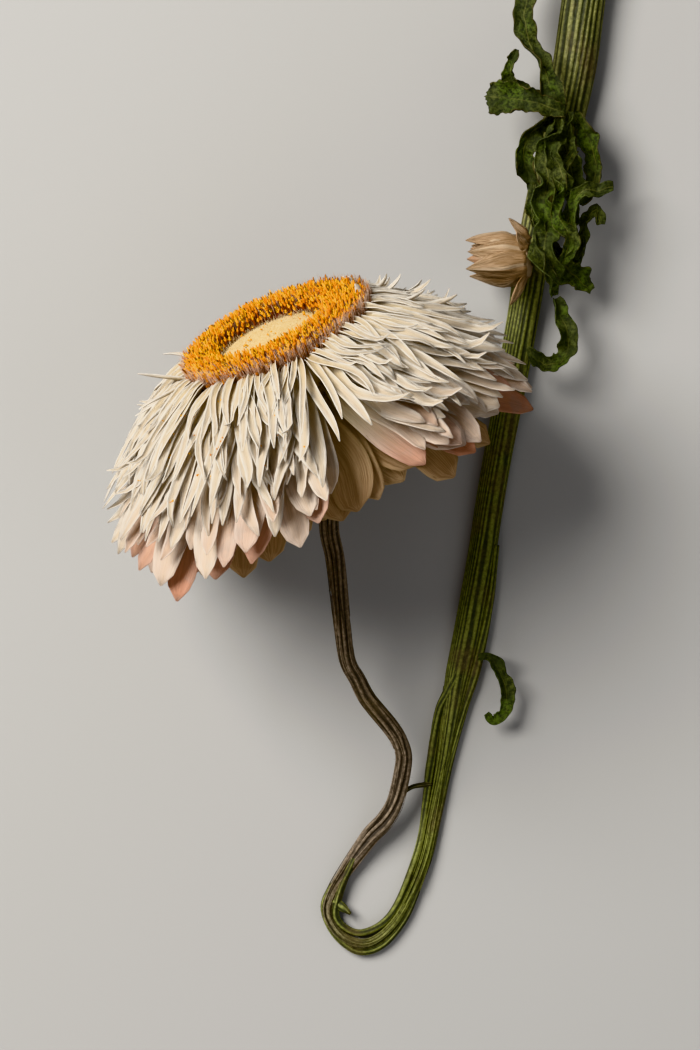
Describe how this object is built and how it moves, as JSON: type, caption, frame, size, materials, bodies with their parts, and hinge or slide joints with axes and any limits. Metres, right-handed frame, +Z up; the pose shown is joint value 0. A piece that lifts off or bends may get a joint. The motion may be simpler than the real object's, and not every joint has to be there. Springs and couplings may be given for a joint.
{
  "type": "dried strawflower",
  "caption": "Dried everlasting flower, cut and laid down: layered papery bracts round a golden disc, a ribbed stem bent in a loop, a closed side bud and crinkled leaves.",
  "frame": {"origin": "on the table, under the middle of the plant's bounding box", "axes": "+Y runs along the stem towards its cut end, which is up in the picture, +Z is up from the table and points to the camera, +X is to the right in the picture"},
  "size_m": [0.0698, 0.15, 0.0485],
  "materials": {
    "dry_stem": "matt, ribbed, olive green turning brown at the flower stalk",
    "white_bract": "papery, cream white with pink tips",
    "tan_bract": "papery, tan",
    "golden_floret": "matt, golden orange",
    "cream_felt": "matt, felted, cream",
    "bud_bract": "papery, tan",
    "dry_leaf": "matt, crinkled, dark green"
  },
  "bodies": {
    "root": {"stem": "dry_stem", "bracts": "white_bract", "outer_bracts": "tan_bract", "disc_florets": "golden_floret", "disc_centre": "cream_felt", "bud": "bud_bract", "leaf_top": "dry_leaf", "leaf_left": "dry_leaf", "leaf_left_back": "dry_leaf", "leaf_cluster": "dry_leaf", "leaf_hanging": "dry_leaf", "leaf_small": "dry_leaf"}
  },
  "joints": []
}
